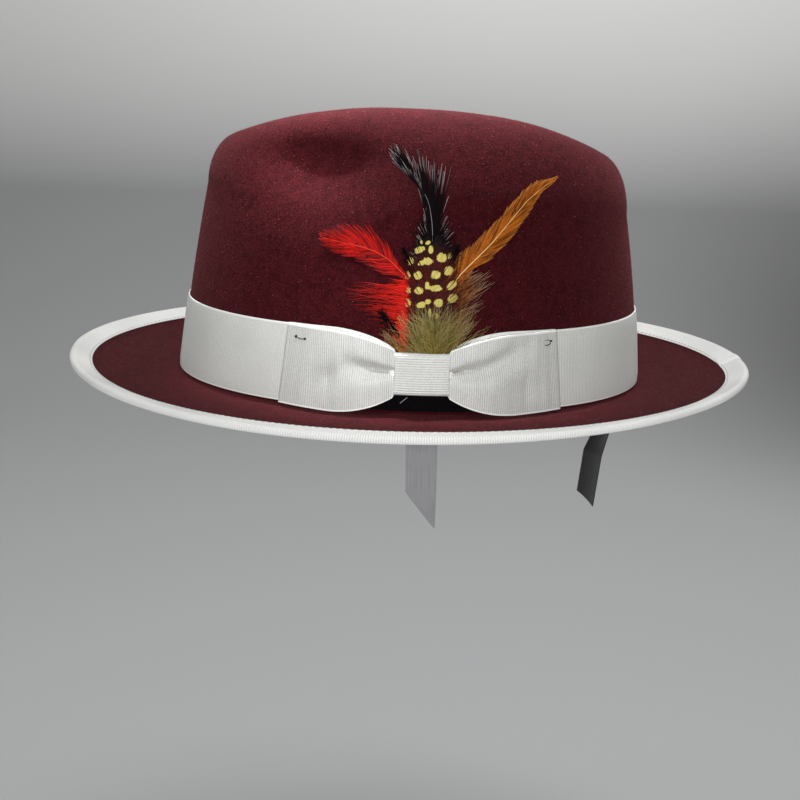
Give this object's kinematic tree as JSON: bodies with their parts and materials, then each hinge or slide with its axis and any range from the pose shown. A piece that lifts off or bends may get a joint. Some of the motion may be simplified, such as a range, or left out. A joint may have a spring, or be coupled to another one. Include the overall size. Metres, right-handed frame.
{
  "type": "fedora",
  "caption": "Felt fedora with a teardrop crown, ribbon-bound brim, ribbon band, flat bow, a spray of feathers and hanging ribbon tails.",
  "frame": {"origin": "middle of the head opening, in the plane where the brim meets the crown in front", "axes": "front of the hat towards -X, wearer's left side with the bow towards -Y, crown up +Z"},
  "size_m": [0.3178, 0.2743, 0.19],
  "materials": {
    "felt": "dense burgundy felt with a short nap",
    "binding_ribbon": "white grosgrain ribbon folded round the edge",
    "band_ribbon": "light grey grosgrain ribbon with fine upright ribs",
    "bow_ribbon": "light grey grosgrain ribbon, ribs across its length",
    "black_felt": "matt black felt",
    "red_feather": "soft dyed hackle",
    "black_feather": "glossy black hackle with grey edges",
    "spotted_feather": "dark brown with round pale yellow spots",
    "olive_down": "fluffy olive down",
    "brown_feather": "glossy brown hackle with an amber tip",
    "grey_tail": "thin grey satin ribbon",
    "black_tail": "thin black satin ribbon"
  },
  "bodies": {
    "root": {"felt_body": "felt", "brim_binding": "binding_ribbon", "hat_band": "band_ribbon", "feather_pad": "black_felt", "bow_ribbon": "bow_ribbon", "bow_knot": "bow_ribbon", "feather_red": "red_feather", "feather_black": "black_feather", "feather_spotted": "spotted_feather", "feather_down": "olive_down", "feather_brown": "brown_feather", "ribbon_tail_side": "grey_tail", "ribbon_tail_rear": "black_tail"}
  },
  "joints": []
}
